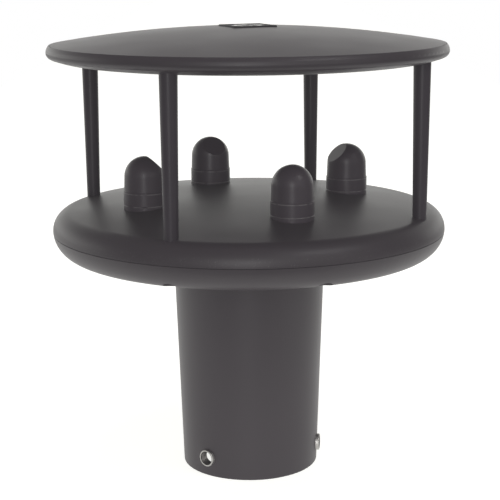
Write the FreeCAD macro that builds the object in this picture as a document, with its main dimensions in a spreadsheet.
import FreeCAD, Part
import math
import os
import Sketcher

# Two-axis ultrasonic wind sensor. A round roof stands on four thin pillars above a round body.
# Four transducers in the gap send sound up to the flat underside of the roof, which sends it
# down to the transducer opposite. The body's mounting tube slides over a pole.
# Origin: centre of the tube's bottom rim. +Z up, the front is -Y. All sizes in millimetres.

driving_sizes = {
    # roof: two shells with a rounded rim
    "roof_radius": 71.0,
    "roof_top": 160.56,
    "roof_edge_radius": 69.97,
    "roof_edge_top": 154.68,
    "roof_widest": 152.32,
    "roof_underside": 148.13,
    "roof_flat_radius": 57.06,
    "roof_lower_corner": 2.2,
    "roof_ledge": 153.1,
    "roof_rim_inside": 61.0,
    "roof_wall": 2.4,
    "lid_radius": 69.72,
    "lid_seat_radius": 69.84,
    # square plate let into the top of the roof
    "badge_side": 16.0,
    "badge_thickness": 1.1,
    "badge_proud": 0.44,
    # pillars, leaner at the foot, hollow for the long screws
    "pillar_ring": 64.0,
    "pillar_foot_radius": 2.4,
    "pillar_head_radius": 3.0,
    "pillar_foot": 93.5,
    "pillar_head": 150.4,
    "pillar_bore_radius": 1.65,
    "pillar_seat_gap": 0.05,
    # body
    "body_radius": 70.59,
    "body_top": 100.16,
    "body_widest": 89.2,
    "body_upper_corner": 6.8,
    "body_lower_corner": 9.4,
    "body_underside": 77.0,
    "parting_height": 88.5,
    "seam_depth": 0.3,
    "seam_half_width": 0.12,
    "body_wall": 3.0,
    "flange_inside": 57.6,
    "seal_ring": 60.4,
    "seal_section": 0.85,
    "groove_half_width": 1.15,
    # mounting tube
    "tube_foot_radius": 24.82,
    "tube_head_radius": 27.38,
    "tube_head": 76.3,
    "tube_root_fillet": 1.25,
    "tube_root_radius": 1.31,
    "tube_edge_round": 0.6,
    "socket_radius": 22.5,
    "socket_depth": 50.0,
    "socket_chamfer": 0.5,
    "well_radius": 20.5,
    "web_bottom": 63.0,
    "web_top": 66.0,
    # threaded clamp inserts near the foot of the tube
    "insert_height": 7.0,
    "insert_radius": 3.05,
    "insert_thread_radius": 2.5,
    "insert_inner_end": 22.65,
    "insert_outer_end": 26.05,
    # M3 screws up from below the body
    "screw_ring": 64.0,
    "screw_radius": 1.5,
    "screw_clearance": 1.65,
    "screw_head_radius": 2.75,
    "screw_head_height": 3.0,
    "screw_head_seat": 85.5,
    "screw_key_corner": 1.44,
    "screw_key_depth": 1.4,
    "counterbore_radius": 3.1,
    "housing_screw_tip": 92.5,
    "pillar_screw_tip": 152.9,
    "roof_insert_radius": 2.35,
    # transducers
    "transducer_ring": 39.26,
    "cap_radius": 7.12,
    "cap_skirt_radius": 7.3,
    "cap_dome_centre": 109.48,
    "cap_foot": 94.2,
    "cap_bore_radius": 5.0,
    "cap_bore_top": 108.8,
    "facet_offset": 5.6,
    "facet_tilt": 45.0,
    "facet_wall": 1.2,
    "piezo_radius": 4.0,
    "piezo_thickness": 1.5,
    "piezo_seat_radius": 4.1,
    "piezo_seat_depth": 1.5,
    "collar_radius": 7.5,
    "collar_bore_radius": 7.15,
    "collar_top": 104.6,
    "collar_bevel": 0.2,
    "collar_line_height": 99.6,
    "collar_line_depth": 0.15,
    "collar_flange_radius": 9.2,
    "collar_flange_top": 94.8,
    "collar_flange_bottom": 93.4,
    "transducer_hole_radius": 7.56,
    # circuit board
    "board_radius": 52.0,
    "board_bottom": 84.0,
    "board_thickness": 1.6,
    "boss_ring": 34.0,
    "boss_radius": 3.0,
    "boss_top": 96.5,
    "board_screw_radius": 1.25,
    "board_screw_head_radius": 2.25,
    "board_screw_head_height": 1.7,
    "board_screw_tip": 90.5,
    "board_key_corner": 1.15,
    "board_key_depth": 1.0,
    "board_hole_radius": 1.4,
    "chip_side": 12.0,
    "chip_height": 1.6,
    "transformer_ring": 20.0,
    "transformer_side": 9.0,
    "transformer_height": 7.0,
    "capacitor_ring": 46.0,
    "capacitor_radius": 2.6,
    "capacitor_height": 6.0,
    "header_length": 12.0,
    "header_width": 6.0,
    "header_bottom": 80.5,
    # nine-way connector in the web of the tube
    "connector_mouth": 51.5,
    "connector_radius": 10.0,
    "connector_bore_radius": 8.0,
    "connector_flange_radius": 12.5,
    "connector_flange_bottom": 60.0,
    "connector_flange_top": 62.0,
    "connector_barrel_radius": 9.0,
    "connector_barrel_top": 69.5,
    "connector_hole_radius": 9.2,
    "nut_corner": 12.7,
    "nut_height": 2.6,
    "insulator_bottom": 55.0,
    "insulator_top": 69.0,
    "pin_radius": 0.55,
    "pin_ring": 5.2,
    "pin_bottom": 52.6,
    "pin_top": 70.5,
    # wires: each runs straight, through an S-bend, and straight again
    "loom_radius": 2.5,
    "loom_bend": 6.0,
    "loom_shift": 3.5,
    "lead_radius": 0.9,
    "lead_bend": 8.0,
    "lead_shift": 4.0,
    "lead_top": 112.5,
}

doc = FreeCAD.newDocument("WindSensor")
sheet = doc.addObject("Spreadsheet::Sheet", "Sizes")
for row, (alias, number) in enumerate(driving_sizes.items(), start=1):
    sheet.set("A%d" % row, alias.replace("_", " "))
    sheet.set("B%d" % row, str(number))
    sheet.setAlias("B%d" % row, alias)
doc.recompute()


class Length:
    """A number together with the sheet expression that gives it."""

    def __init__(self, value, text):
        self.value = value
        self.text = text

    def __add__(self, other):
        other = as_length(other)
        return Length(self.value + other.value, "(%s + %s)" % (self.text, other.text))

    def __sub__(self, other):
        other = as_length(other)
        return Length(self.value - other.value, "(%s - %s)" % (self.text, other.text))

    def __mul__(self, other):
        other = as_length(other)
        return Length(self.value * other.value, "(%s * %s)" % (self.text, other.text))

    def __truediv__(self, other):
        other = as_length(other)
        return Length(self.value / other.value, "(%s / %s)" % (self.text, other.text))

    def root(self):
        return Length(math.sqrt(self.value), "sqrt(%s)" % self.text)


def as_length(number):
    if isinstance(number, Length):
        return number
    return Length(float(number), repr(float(number)))


def size(alias):
    return Length(float(sheet.get(alias)), "Sizes.%s" % alias)


zero = as_length(0)
parts = []
quarter_turns = (0, 90, 180, 270)
diagonal_turns = (45, 135, 225, 315)
clamp_turns = (90, 210, 330)
overrun = as_length(1)      # how far a cut goes past the face that it opens


def keep(shape_object, label):
    """Take an object as a finished sub-part; its label names its file."""
    shape_object.Label = label
    parts.append(shape_object)
    return shape_object


def bind(thing, name, length):
    """Set one property of an object from the sheet."""
    setattr(thing, name, length.value)
    thing.setExpression(name, length.text)


def turned_place(turn, out=0.0, up=0.0):
    """Placement at a distance out from the Z axis, turned about it by an angle in degrees."""
    spin = FreeCAD.Rotation(FreeCAD.Vector(0, 0, 1), turn)
    return FreeCAD.Placement(spin.multVec(FreeCAD.Vector(out, 0, up)), spin)


# ---- sketches and PartDesign features ----

def new_body(label, many_solids=False):
    body = doc.addObject("PartDesign::Body", label)
    body.AllowCompound = many_solids
    return keep(body, label)


def new_sketch(body, name, role, height=None):
    """Sketch on one of the body's origin planes, or at a height above it."""
    sketch = body.newObject("Sketcher::SketchObject", name)
    plane = [item for item in body.Origin.OriginFeatures if item.Role == role][0]
    sketch.AttachmentSupport = [(plane, "")]
    sketch.MapMode = "FlatFace"
    if height is not None:
        sketch.AttachmentOffset = FreeCAD.Placement(FreeCAD.Vector(0, 0, height.value), FreeCAD.Rotation())
        sketch.setExpression("AttachmentOffset.Base.z", height.text)
    return sketch


def fix(sketch, kind, items, length):
    """Add a constraint with a value that follows the sheet."""
    index = sketch.addConstraint(Sketcher.Constraint(kind, *items, length.value))
    sketch.setExpression("Constraints[%d]" % index, length.text)


def fix_point(sketch, edge, end, x, y):
    """Hold one end of an edge at (x, y); a zero keeps it on the sketch's axis."""
    if x is zero:
        sketch.addConstraint(Sketcher.Constraint("PointOnObject", edge, end, -2))
    else:
        fix(sketch, "DistanceX", (-1, 1, edge, end), x)
    if y is zero:
        sketch.addConstraint(Sketcher.Constraint("PointOnObject", edge, end, -1))
    else:
        fix(sketch, "DistanceY", (-1, 1, edge, end), y)


def arc_between(start, end, radius):
    """Arc from start to end. A positive radius bulges to the left of the way it runs."""
    chord = end - start
    half = chord.Length / 2
    reach = math.sqrt(radius * radius - half * half)
    left = FreeCAD.Vector(-chord.y, chord.x, 0).normalize()
    side = 1 if radius > 0 else -1
    centre = (start + end) * 0.5 - left * (reach * side)
    first, last = (end, start) if side > 0 else (start, end)
    circle = Part.Circle(centre, FreeCAD.Vector(0, 0, 1), abs(radius))
    from_angle = math.atan2(first.y - centre.y, first.x - centre.x)
    to_angle = math.atan2(last.y - centre.y, last.x - centre.x)
    return Part.ArcOfCircle(circle, from_angle, to_angle)


def draw_outline(sketch, corners):
    """Closed outline of corners (x, y) or (x, y, radius, side).

    A corner with a radius starts an arc to the next corner; side "left" or "right" is where
    the arc bulges as the outline is followed. Other corners start a straight line.
    """
    ends = []
    for index, corner in enumerate(corners):
        following = corners[(index + 1) % len(corners)]
        start = FreeCAD.Vector(corner[0].value, corner[1].value, 0)
        end = FreeCAD.Vector(following[0].value, following[1].value, 0)
        if len(corner) == 2:
            edge = sketch.addGeometry(Part.LineSegment(start, end))
            ends.append((edge, 1, 2))
        elif corner[3] == "left":
            edge = sketch.addGeometry(arc_between(start, end, corner[2].value))
            ends.append((edge, 2, 1))
        else:
            edge = sketch.addGeometry(arc_between(start, end, -corner[2].value))
            ends.append((edge, 1, 2))
    for (edge, start_end, stop_end), following in zip(ends, ends[1:] + ends[:1]):
        sketch.addConstraint(Sketcher.Constraint("Coincident", edge, stop_end, *following[:2]))
    for (edge, start_end, stop_end), corner in zip(ends, corners):
        fix_point(sketch, edge, start_end, corner[0], corner[1])
        if len(corner) == 4:
            fix(sketch, "Radius", (edge,), corner[2])


def draw_circle(sketch, x, y, radius):
    centre = FreeCAD.Vector(x.value, y.value, 0)
    edge = sketch.addGeometry(Part.Circle(centre, FreeCAD.Vector(0, 0, 1), radius.value))
    fix(sketch, "Radius", (edge,), radius)
    fix_point(sketch, edge, 3, x, y)


def revolve(body, name, corners):
    sketch = new_sketch(body, name + "_outline", "XZ_Plane")
    draw_outline(sketch, corners)
    feature = body.newObject("PartDesign::Revolution", name)
    feature.Profile = sketch
    feature.ReferenceAxis = (sketch, ["V_Axis"])
    feature.Angle = 360
    return feature


def turned_body(label, corners):
    body = new_body(label)
    revolve(body, label + "_turning", corners)
    return body


def pad_up(body, name, height, top, draw):
    """Pad from one height up to another; draw puts the outline in the sketch."""
    sketch = new_sketch(body, name + "_outline", "XY_Plane", height)
    draw(sketch)
    feature = body.newObject("PartDesign::Pad", name)
    feature.Profile = sketch
    bind(feature, "Length", top - height)
    return feature


def cut_up(body, name, height, top, draw):
    """Pocket that runs from one height up to another."""
    sketch = new_sketch(body, name + "_outline", "XY_Plane", height)
    draw(sketch)
    feature = body.newObject("PartDesign::Pocket", name)
    feature.Profile = sketch
    feature.Reversed = True
    bind(feature, "Length", top - height)
    return feature


def repeat_round(body, features, count):
    """Polar pattern about Z, which becomes the body's tip."""
    pattern = body.newObject("PartDesign::PolarPattern", features[0].Name + "_ring")
    pattern.Originals = features
    pattern.Axis = ([item for item in body.Origin.OriginFeatures if item.Role == "Z_Axis"][0], [""])
    pattern.Angle = 360
    pattern.Occurrences = count
    body.Tip = pattern
    return pattern


def circle_at(out, radius, turn=0):
    """Drawing of a circle at a distance out from the Z axis, turned from +X."""
    x = out * math.cos(math.radians(turn)) if turn != 90 else zero
    y = out * math.sin(math.radians(turn)) if turn != 0 else zero

    def draw(sketch):
        draw_circle(sketch, x, y, radius)
    return draw


def centred_rectangle(width, depth):
    def draw(sketch):
        x = width / 2
        y = depth / 2
        left = zero - x
        low = zero - y
        corners = [(x.value, y.value), (left.value, y.value), (left.value, low.value), (x.value, low.value)]
        points = [FreeCAD.Vector(px, py, 0) for px, py in corners]
        edges = []
        for index, point in enumerate(points):
            edges.append(sketch.addGeometry(Part.LineSegment(point, points[(index + 1) % 4])))
        for index, edge in enumerate(edges):
            sketch.addConstraint(Sketcher.Constraint("Coincident", edge, 2, edges[(index + 1) % 4], 1))
            direction = "Horizontal" if index % 2 == 0 else "Vertical"
            sketch.addConstraint(Sketcher.Constraint(direction, edge))
        sketch.addConstraint(Sketcher.Constraint("Symmetric", edges[0], 1, edges[2], 1, -1, 1))
        fix(sketch, "DistanceX", (edges[0], 2, edges[0], 1), width)
        fix(sketch, "DistanceY", (edges[1], 2, edges[1], 1), depth)
    return draw


# ---- Part primitives and booleans ----

def cylinder(name, radius, bottom, top, place=None):
    item = doc.addObject("Part::Cylinder", name)
    bind(item, "Radius", radius)
    bind(item, "Height", top - bottom)
    base = FreeCAD.Placement(FreeCAD.Vector(0, 0, bottom.value), FreeCAD.Rotation())
    item.Placement = place.multiply(base) if place else base
    return item


def prism(name, sides, corner_radius, bottom, top, place=None):
    item = doc.addObject("Part::Prism", name)
    item.Polygon = sides
    bind(item, "Circumradius", corner_radius)
    bind(item, "Height", top - bottom)
    base = FreeCAD.Placement(FreeCAD.Vector(0, 0, bottom.value), FreeCAD.Rotation())
    item.Placement = place.multiply(base) if place else base
    return item


def block(name, length, width, bottom, top, out=0.0, turn=0.0):
    """Box centred at a distance out from the Z axis."""
    item = doc.addObject("Part::Box", name)
    bind(item, "Length", length)
    bind(item, "Width", width)
    bind(item, "Height", top - bottom)
    corner = FreeCAD.Vector(out - length.value / 2, -width.value / 2, bottom.value)
    item.Placement = turned_place(turn).multiply(FreeCAD.Placement(corner, FreeCAD.Rotation()))
    return item


def fuse(name, items):
    joined = doc.addObject("Part::MultiFuse", name)
    joined.Shapes = items
    joined.Refine = False
    return joined


def cut(name, base, tool):
    result = doc.addObject("Part::Cut", name)
    result.Base = base
    result.Tool = tool
    return result


# ---- shared shapes ----

def dome_height(top, rim, height_at_rim, out):
    """Height at a distance out on a dome that is top high at its middle."""
    drop = (top - height_at_rim) * out * out / (rim * rim)
    return top - drop


def dome_radius(rim, rise):
    """Radius of the sphere that rises so far over a rim."""
    return (rim * rim + rise * rise) / (rise * 2)


def dome_into_corner(apex, corner_out, corner_up, corner, upward):
    """Radius of a dome, centred on Z, that runs smoothly into a rounded corner, and where.

    The corner is an arc centred at (corner_out, corner_up). upward is False for an underside.
    """
    depth = apex - corner_up if upward else corner_up - apex
    radius = (corner_out * corner_out + depth * depth - corner * corner) / ((depth - corner) * 2)
    along = corner / (radius - corner)
    touch_out = corner_out + corner_out * along
    lift = (radius - depth) * along
    touch_up = corner_up + lift if upward else corner_up - lift
    return radius, touch_out, touch_up


def s_bend(label, radius, bottom, top, shift, bend, place):
    """Round wire that rises from (0, bottom) to (shift, top) by an S of two equal arcs.

    It goes straight up, leans over to the side that shift points to, and ends straight up.
    """
    body = new_body(label)
    lean = math.acos(1 - abs(shift) / (2 * bend.value))
    rise = 2 * bend.value * math.sin(lean)
    straight = (top.value - bottom.value - rise) / 2
    side = 1 if shift > 0 else -1
    low = bottom.value + straight
    high = top.value - straight
    points = [FreeCAD.Vector(0, bottom.value, 0), FreeCAD.Vector(0, low, 0),
              FreeCAD.Vector(shift / 2, (low + high) / 2, 0),
              FreeCAD.Vector(shift, high, 0), FreeCAD.Vector(shift, top.value, 0)]
    path = new_sketch(body, label + "_path", "XZ_Plane")
    path.addGeometry(Part.LineSegment(points[0], points[1]))
    path.addGeometry(arc_between(points[1], points[2], bend.value * side))
    path.addGeometry(arc_between(points[2], points[3], -bend.value * side))
    path.addGeometry(Part.LineSegment(points[3], points[4]))
    section = new_sketch(body, label + "_section", "XY_Plane", bottom)
    draw_circle(section, zero, zero, radius)
    wire = body.newObject("PartDesign::AdditivePipe", label + "_wire")
    wire.Profile = section
    wire.Spine = path
    body.Placement = place
    return body


# ---- roof ----

def make_roof():
    radius = size("roof_radius")
    lid_radius = size("lid_radius")
    lid_edge = dome_height(size("roof_top"), size("roof_edge_radius"), size("roof_edge_top"), lid_radius)
    lid_inside = size("roof_top") - size("roof_wall")
    rim_inside = size("roof_rim_inside")
    ledge = size("roof_ledge")
    cover = turned_body("roof_cover", [
        (zero, size("roof_top"), dome_radius(lid_radius, size("roof_top") - lid_edge), "left"),
        (lid_radius, lid_edge),
        (lid_radius, ledge),
        (rim_inside, ledge, dome_radius(rim_inside, lid_inside - ledge), "right"),
        (zero, lid_inside),
    ])
    badge_bottom = size("roof_top") + size("badge_proud") - size("badge_thickness")
    cut_up(cover, "badge_recess", badge_bottom, size("roof_top") + overrun,
           centred_rectangle(size("badge_side"), size("badge_side")))
    badge = new_body("badge_plate")
    pad_up(badge, "badge", badge_bottom, badge_bottom + size("badge_thickness"),
           centred_rectangle(size("badge_side"), size("badge_side")))

    # lower shell: flat underside, then a long shallow arc and a tight one out to the widest line
    corner = size("roof_lower_corner")
    depth = size("roof_widest") - size("roof_underside")
    run = radius - size("roof_flat_radius")
    shallow = ((run - corner) * (run - corner) + depth * depth - corner * corner) / ((depth - corner) * 2)
    along = corner / (shallow - corner)
    touch_out = radius - corner + (run - corner) * along
    touch_up = size("roof_widest") - (shallow - depth) * along
    over = size("roof_edge_top") - size("roof_widest")
    inset = radius - size("roof_edge_radius")
    upper_round = (inset * inset + over * over) / (inset * 2)
    floor = size("roof_underside") + size("roof_wall")
    base = turned_body("roof_base", [
        (zero, size("roof_underside")),
        (size("roof_flat_radius"), size("roof_underside"), shallow, "right"),
        (touch_out, touch_up, corner, "right"),
        (radius, size("roof_widest"), upper_round, "right"),
        (size("roof_edge_radius"), size("roof_edge_top")),
        (size("lid_seat_radius"), size("roof_edge_top")),
        (size("lid_seat_radius"), ledge),
        (rim_inside, ledge),
        (rim_inside, floor),
        (zero, floor),
    ])
    below = size("roof_underside") - overrun
    socket = cut_up(base, "pillar_head_socket", below, size("pillar_head"),
                    circle_at(size("pillar_ring"), size("pillar_head_radius"), 45))
    seat = cut_up(base, "roof_insert_seat", below, ledge + overrun,
                  circle_at(size("pillar_ring"), size("roof_insert_radius"), 45))
    repeat_round(base, [socket, seat], 4)


def make_roof_inserts():
    sleeves = []
    threads = []
    for turn in diagonal_turns:
        place = turned_place(turn, size("pillar_ring").value)
        sleeves.append(cylinder("roof_insert", size("roof_insert_radius"), size("pillar_head"),
                                size("roof_ledge"), place))
        threads.append(cylinder("roof_insert_thread", size("screw_radius"), size("pillar_head"),
                                size("roof_ledge"), place))
    keep(cut("roof_insert_ring", fuse("roof_insert_sleeves", sleeves),
             fuse("roof_insert_threads", threads)), "roof_inserts")


def make_pillars():
    foot = size("pillar_foot")
    head = size("pillar_head")
    shoulder = size("roof_underside")
    names = {225: "front_left", 315: "front_right", 45: "back_right", 135: "back_left"}
    for turn, side in names.items():
        pillar = turned_body("pillar_" + side, [
            (size("pillar_bore_radius"), foot),
            (size("pillar_foot_radius"), foot),
            (size("pillar_head_radius"), shoulder),
            (size("pillar_head_radius"), head),
            (size("pillar_bore_radius"), head),
        ])
        pillar.Placement = turned_place(turn, size("pillar_ring").value)


# ---- body shells ----

def make_upper_housing():
    radius = size("body_radius")
    corner = size("body_upper_corner")
    top = size("body_top")
    parting = size("parting_height")
    inside = size("flange_inside")
    dome, touch_out, touch_up = dome_into_corner(
        top, radius - corner, size("body_widest"), corner, upward=True)
    inner_top = top - size("body_wall")
    inner_edge = dome_height(inner_top, touch_out, touch_up - size("body_wall"), inside)
    shell = turned_body("upper_housing", [
        (zero, top, dome, "left"),
        (touch_out, touch_up, corner, "left"),
        (radius, size("body_widest")),
        (radius, parting + size("seam_half_width")),
        (radius - size("seam_depth"), parting),
        (inside, parting),
        (inside, inner_edge, dome_radius(inside, inner_top - inner_edge), "right"),
        (zero, inner_top),
    ])
    below = parting - overrun
    openings = [cut_up(shell, "transducer_opening", below, top + overrun,
                       circle_at(size("transducer_ring"), size("transducer_hole_radius")))]
    openings.append(cut_up(shell, "housing_screw_thread", below, size("housing_screw_tip"),
                           circle_at(size("screw_ring"), size("screw_radius"))))
    openings.append(cut_up(shell, "pillar_screw_hole", below, top,
                           circle_at(size("pillar_ring"), size("screw_clearance"), 45)))
    openings.append(cut_up(shell, "pillar_foot_socket", size("pillar_foot"), top + overrun,
                           circle_at(size("pillar_ring"), size("pillar_foot_radius") + size("pillar_seat_gap"), 45)))
    repeat_round(shell, openings, 4)
    board_top = size("board_bottom") + size("board_thickness")
    boss = pad_up(shell, "board_boss", board_top, size("boss_top"),
                  circle_at(size("boss_ring"), size("boss_radius"), 45))
    thread = cut_up(shell, "board_boss_thread", board_top, size("board_screw_tip"),
                    circle_at(size("boss_ring"), size("board_screw_radius"), 45))
    repeat_round(shell, [boss, thread], 4)


def make_lower_housing():
    corner = size("body_lower_corner")
    corner_out = size("body_radius") - corner
    widest = size("body_widest")
    parting = size("parting_height")
    dome, touch_out, touch_up = dome_into_corner(
        size("body_underside"), corner_out, widest, corner, upward=False)
    # the rounded corner stops just under the seam
    seam_low = parting - size("seam_half_width")
    drop = widest - seam_low
    seam_out = corner_out + (corner * corner - drop * drop).root()
    tube_head_radius = size("tube_head_radius")
    root_out = tube_head_radius + size("tube_root_fillet")
    root_up = size("body_underside") + root_out * root_out / (dome * 2)
    wall = size("body_wall")
    floor_out = size("flange_inside") - wall
    floor_edge = size("body_underside") + wall + floor_out * floor_out / (dome * 2)
    well = size("well_radius")
    floor_middle = size("body_underside") + wall + well * well / (dome * 2)
    groove_in = size("seal_ring") - size("groove_half_width")
    groove_out = size("seal_ring") + size("groove_half_width")
    groove_floor = parting - size("seal_section") * 2
    socket = size("socket_radius")
    edge = size("tube_edge_round")
    shell = turned_body("lower_housing", [
        (socket + size("socket_chamfer"), zero),
        (size("tube_foot_radius") - edge, zero, edge, "right"),
        (size("tube_foot_radius"), edge),
        (tube_head_radius, size("tube_head"), size("tube_root_radius"), "left"),
        (root_out, root_up, dome, "right"),
        (touch_out, touch_up, corner, "right"),
        (seam_out, seam_low),
        (size("body_radius") - size("seam_depth"), parting),
        (groove_out, parting),
        (groove_out, groove_floor),
        (groove_in, groove_floor),
        (groove_in, parting),
        (size("flange_inside"), parting),
        (size("flange_inside"), floor_edge + wall),
        (floor_out, floor_edge),
        (well, floor_middle),
        (well, size("web_top")),
        (size("connector_hole_radius"), size("web_top")),
        (size("connector_hole_radius"), size("web_bottom")),
        (well, size("web_bottom")),
        (well, size("socket_depth")),
        (socket, size("socket_depth")),
        (socket, size("socket_chamfer")),
    ])
    below = size("body_underside") - overrun
    counterbore = cut_up(shell, "screw_counterbore", below, size("screw_head_seat"),
                         circle_at(size("screw_ring"), size("counterbore_radius")))
    hole = cut_up(shell, "screw_hole", below, parting + overrun,
                  circle_at(size("screw_ring"), size("screw_clearance")))
    repeat_round(shell, [counterbore, hole], 8)

    # three threaded inserts through the tube wall, the first one at the back
    sketch = new_sketch(shell, "insert_hole_outline", "XZ_Plane")
    draw_circle(sketch, zero, size("insert_height"), size("insert_radius"))
    insert_hole = shell.newObject("PartDesign::Pocket", "insert_hole")
    insert_hole.Profile = sketch
    bind(insert_hole, "Length", size("tube_head_radius"))
    repeat_round(shell, [insert_hole], 3)


def make_clamp_inserts():
    sleeves = []
    threads = []
    lying = FreeCAD.Placement(FreeCAD.Vector(0, 0, size("insert_height").value),
                              FreeCAD.Rotation(FreeCAD.Vector(0, 1, 0), 90))
    for turn in clamp_turns:
        place = turned_place(turn).multiply(lying)
        sleeves.append(cylinder("clamp_insert", size("insert_radius"), size("insert_inner_end"),
                                size("insert_outer_end"), place))
        threads.append(cylinder("clamp_insert_thread", size("insert_thread_radius"),
                                size("insert_inner_end"), size("insert_outer_end"), place))
    keep(cut("clamp_insert_ring", fuse("clamp_insert_sleeves", sleeves),
             fuse("clamp_insert_threads", threads)), "clamp_inserts")


def make_seal():
    seal = doc.addObject("Part::Torus", "seal")
    bind(seal, "Radius1", size("seal_ring"))
    bind(seal, "Radius2", size("seal_section"))
    height = size("parting_height") - size("seal_section")
    seal.Placement = FreeCAD.Placement(FreeCAD.Vector(0, 0, height.value), FreeCAD.Rotation())
    keep(seal, "housing_seal")


# ---- screws ----

def make_socket_screws(label, turns, tip):
    """Socket-head screws up from below the body, as separate solids of one sub-part."""
    solids = []
    sockets = []
    seat = size("screw_head_seat")
    head_bottom = seat - size("screw_head_height")
    for turn in turns:
        place = turned_place(turn, size("screw_ring").value)
        solids.append(cylinder(label + "_shank", size("screw_radius"), seat, tip, place))
        solids.append(cylinder(label + "_head", size("screw_head_radius"), head_bottom, seat, place))
        sockets.append(prism(label + "_key", 6, size("screw_key_corner"), head_bottom,
                             head_bottom + size("screw_key_depth"), place))
    keep(cut(label + "_cut", fuse(label + "_solids", solids), fuse(label + "_keys", sockets)), label)


def make_board_screws():
    solids = []
    sockets = []
    seat = size("board_bottom")
    head_bottom = seat - size("board_screw_head_height")
    for turn in diagonal_turns:
        place = turned_place(turn, size("boss_ring").value)
        solids.append(cylinder("board_screw_shank", size("board_screw_radius"), seat,
                               size("board_screw_tip"), place))
        solids.append(cylinder("board_screw_head", size("board_screw_head_radius"), head_bottom, seat, place))
        sockets.append(prism("board_screw_key", 6, size("board_key_corner"), head_bottom,
                             head_bottom + size("board_key_depth"), place))
    keep(cut("board_screw_cut", fuse("board_screw_solids", solids),
             fuse("board_screw_keys", sockets)), "board_screws")


# ---- transducers ----

def make_transducer(turn, side):
    """Cap with a slanted flat that faces in and up, its collar, piezo disc and lead.

    Above the collar the cap widens a little towards its foot.
    """
    place = turned_place(turn, size("transducer_ring").value)
    radius = size("cap_radius")
    centre = FreeCAD.Vector(0, 0, size("cap_dome_centre").value)
    # local +Z of this placement points in towards the Z axis and up
    slant = FreeCAD.Placement(centre, FreeCAD.Rotation(FreeCAD.Vector(0, 1, 0), -size("facet_tilt").value))

    barrel = cylinder("cap_barrel", radius, size("cap_foot"), size("cap_dome_centre"))
    skirt = doc.addObject("Part::Cone", "cap_skirt")
    bind(skirt, "Radius1", size("cap_skirt_radius"))
    bind(skirt, "Radius2", radius)
    bind(skirt, "Height", size("cap_dome_centre") - size("collar_top"))
    skirt.Placement = FreeCAD.Placement(FreeCAD.Vector(0, 0, size("collar_top").value), FreeCAD.Rotation())
    ball = doc.addObject("Part::Sphere", "cap_dome")
    bind(ball, "Radius", radius)
    ball.Placement = FreeCAD.Placement(centre, FreeCAD.Rotation())
    face_cut = cylinder("cap_facet", radius * 2, size("facet_offset"), radius * 2, slant)
    bore = cylinder("cap_bore", size("cap_bore_radius"), size("cap_foot"), size("cap_bore_top"))
    disc_front = size("facet_offset") - size("facet_wall")
    seat = cylinder("cap_disc_seat", size("piezo_seat_radius"),
                    zero - size("piezo_seat_depth"), disc_front, slant)
    cap = keep(cut("cap_" + side, fuse("cap_body", [barrel, skirt, ball]),
                   fuse("cap_hollows", [face_cut, bore, seat])), "transducer_" + side)
    cap.Placement = place

    disc = cylinder("piezo_" + side, size("piezo_radius"), disc_front - size("piezo_thickness"),
                    disc_front, place.multiply(slant))
    keep(disc, "piezo_" + side)

    bore_radius = size("collar_bore_radius")
    outer = size("collar_radius")
    line_depth = size("collar_line_depth")
    collar = turned_body("transducer_collar_" + side, [
        (bore_radius, size("collar_flange_bottom")),
        (size("collar_flange_radius"), size("collar_flange_bottom")),
        (size("collar_flange_radius"), size("collar_flange_top")),
        (outer, size("collar_flange_top")),
        (outer, size("collar_line_height") - line_depth),
        (outer - line_depth, size("collar_line_height")),
        (outer, size("collar_line_height") + line_depth),
        (outer, size("collar_top") - size("collar_bevel")),
        (outer - size("collar_bevel"), size("collar_top")),
        (bore_radius, size("collar_top")),
    ])
    collar.Placement = place

    board_top = size("board_bottom") + size("board_thickness")
    lead_shift = size("lead_shift").value
    lead_place = turned_place(turn, size("transducer_ring").value - lead_shift)
    s_bend("transducer_lead_" + side, size("lead_radius"), board_top, size("lead_top"),
           lead_shift, size("lead_bend"), lead_place)


# ---- circuit board ----

def make_board():
    bottom = size("board_bottom")
    top = bottom + size("board_thickness")
    board = new_body("main_board")
    pad_up(board, "board_disc", bottom, top, circle_at(zero, size("board_radius")))
    hole = cut_up(board, "board_hole", bottom - overrun, top + overrun,
                  circle_at(size("boss_ring"), size("board_hole_radius"), 45))
    repeat_round(board, [hole], 4)
    keep(block("chip", size("chip_side"), size("chip_side"), top, top + size("chip_height")),
         "processor_chip")
    cores = [block("transformer", size("transformer_side"), size("transformer_side"), top,
                   top + size("transformer_height"), size("transformer_ring").value, turn)
             for turn in quarter_turns]
    keep(fuse("transformers", cores), "drive_transformers")
    cans = [cylinder("capacitor", size("capacitor_radius"), top, top + size("capacitor_height"),
                     turned_place(turn + to_side, size("capacitor_ring").value))
            for turn in quarter_turns for to_side in (-22.5, 22.5)]
    keep(fuse("capacitors", cans), "filter_capacitors")


# ---- connector and its loom ----

def pin_cylinders(name, bottom, top):
    """One pin on the axis and eight round it."""
    places = [turned_place(0)]
    places += [turned_place(45 * step, size("pin_ring").value) for step in range(8)]
    return [cylinder(name, size("pin_radius"), bottom, top, place) for place in places]


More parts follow.
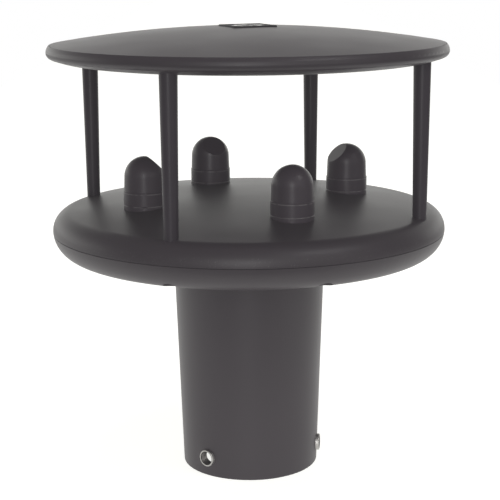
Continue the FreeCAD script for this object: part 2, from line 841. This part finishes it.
def make_connector():
    bore = size("connector_bore_radius")
    barrel = size("connector_barrel_radius")
    flange = size("connector_flange_radius")
    turned_body("connector_shell", [
        (bore, size("connector_mouth")),
        (size("connector_radius"), size("connector_mouth")),
        (size("connector_radius"), size("connector_flange_bottom")),
        (flange, size("connector_flange_bottom")),
        (flange, size("connector_flange_top")),
        (barrel, size("connector_flange_top")),
        (barrel, size("connector_barrel_top")),
        (bore, size("connector_barrel_top")),
    ])
    turned_body("connector_gasket", [
        (barrel, size("connector_flange_top")),
        (flange, size("connector_flange_top")),
        (flange, size("web_bottom")),
        (barrel, size("web_bottom")),
    ])
    nut_top = size("web_top") + size("nut_height")
    nut = prism("nut_blank", 6, size("nut_corner"), size("web_top"), nut_top)
    thread = cylinder("nut_thread", barrel, size("web_top"), nut_top)
    keep(cut("nut", nut, thread), "connector_nut")
    insulator = cylinder("insulator_disc", bore, size("insulator_bottom"), size("insulator_top"))
    holes = pin_cylinders("pin_hole", size("insulator_bottom"), size("insulator_top"))
    keep(cut("insulator", insulator, fuse("pin_holes", holes)), "connector_insulator")
    pins = pin_cylinders("pin", size("pin_bottom"), size("pin_top"))
    keep(fuse("pins", pins), "connector_pins")

    # the loom leans back and plugs into a header under the board
    loom_shift = size("loom_shift").value
    s_bend("wiring_loom", size("loom_radius"), size("pin_top"), size("header_bottom"), loom_shift,
           size("loom_bend"), turned_place(90))
    keep(block("header", size("header_width"), size("header_length"), size("header_bottom"),
               size("board_bottom"), loom_shift, 90), "board_header")


make_roof()
make_roof_inserts()
make_pillars()
make_upper_housing()
make_lower_housing()
make_clamp_inserts()
make_seal()
make_socket_screws("housing_screws", quarter_turns, size("housing_screw_tip"))
make_socket_screws("pillar_screws", diagonal_turns, size("pillar_screw_tip"))
for transducer_turn, transducer_side in zip(quarter_turns, ("right", "back", "left", "front")):
    make_transducer(transducer_turn, transducer_side)
make_board()
make_board_screws()
make_connector()
doc.recompute()

faults = ["%s: %s" % (item.Label, item.State) for item in doc.Objects
          if "Invalid" in item.State or "Error" in item.State]
for part in parts:
    if part.Shape.isNull() or not part.Shape.isValid():
        faults.append("%s: bad shape" % part.Label)
if faults:
    raise RuntimeError("; ".join(faults))

os.makedirs("parts", exist_ok=True)
for part in parts:
    part.Shape.exportStep(os.path.join("parts", part.Label + ".step"))
    print("%-28s %2d solids %10.1f mm3" % (part.Label, len(part.Shape.Solids), part.Shape.Volume))
print("%d sub-parts" % len(parts))
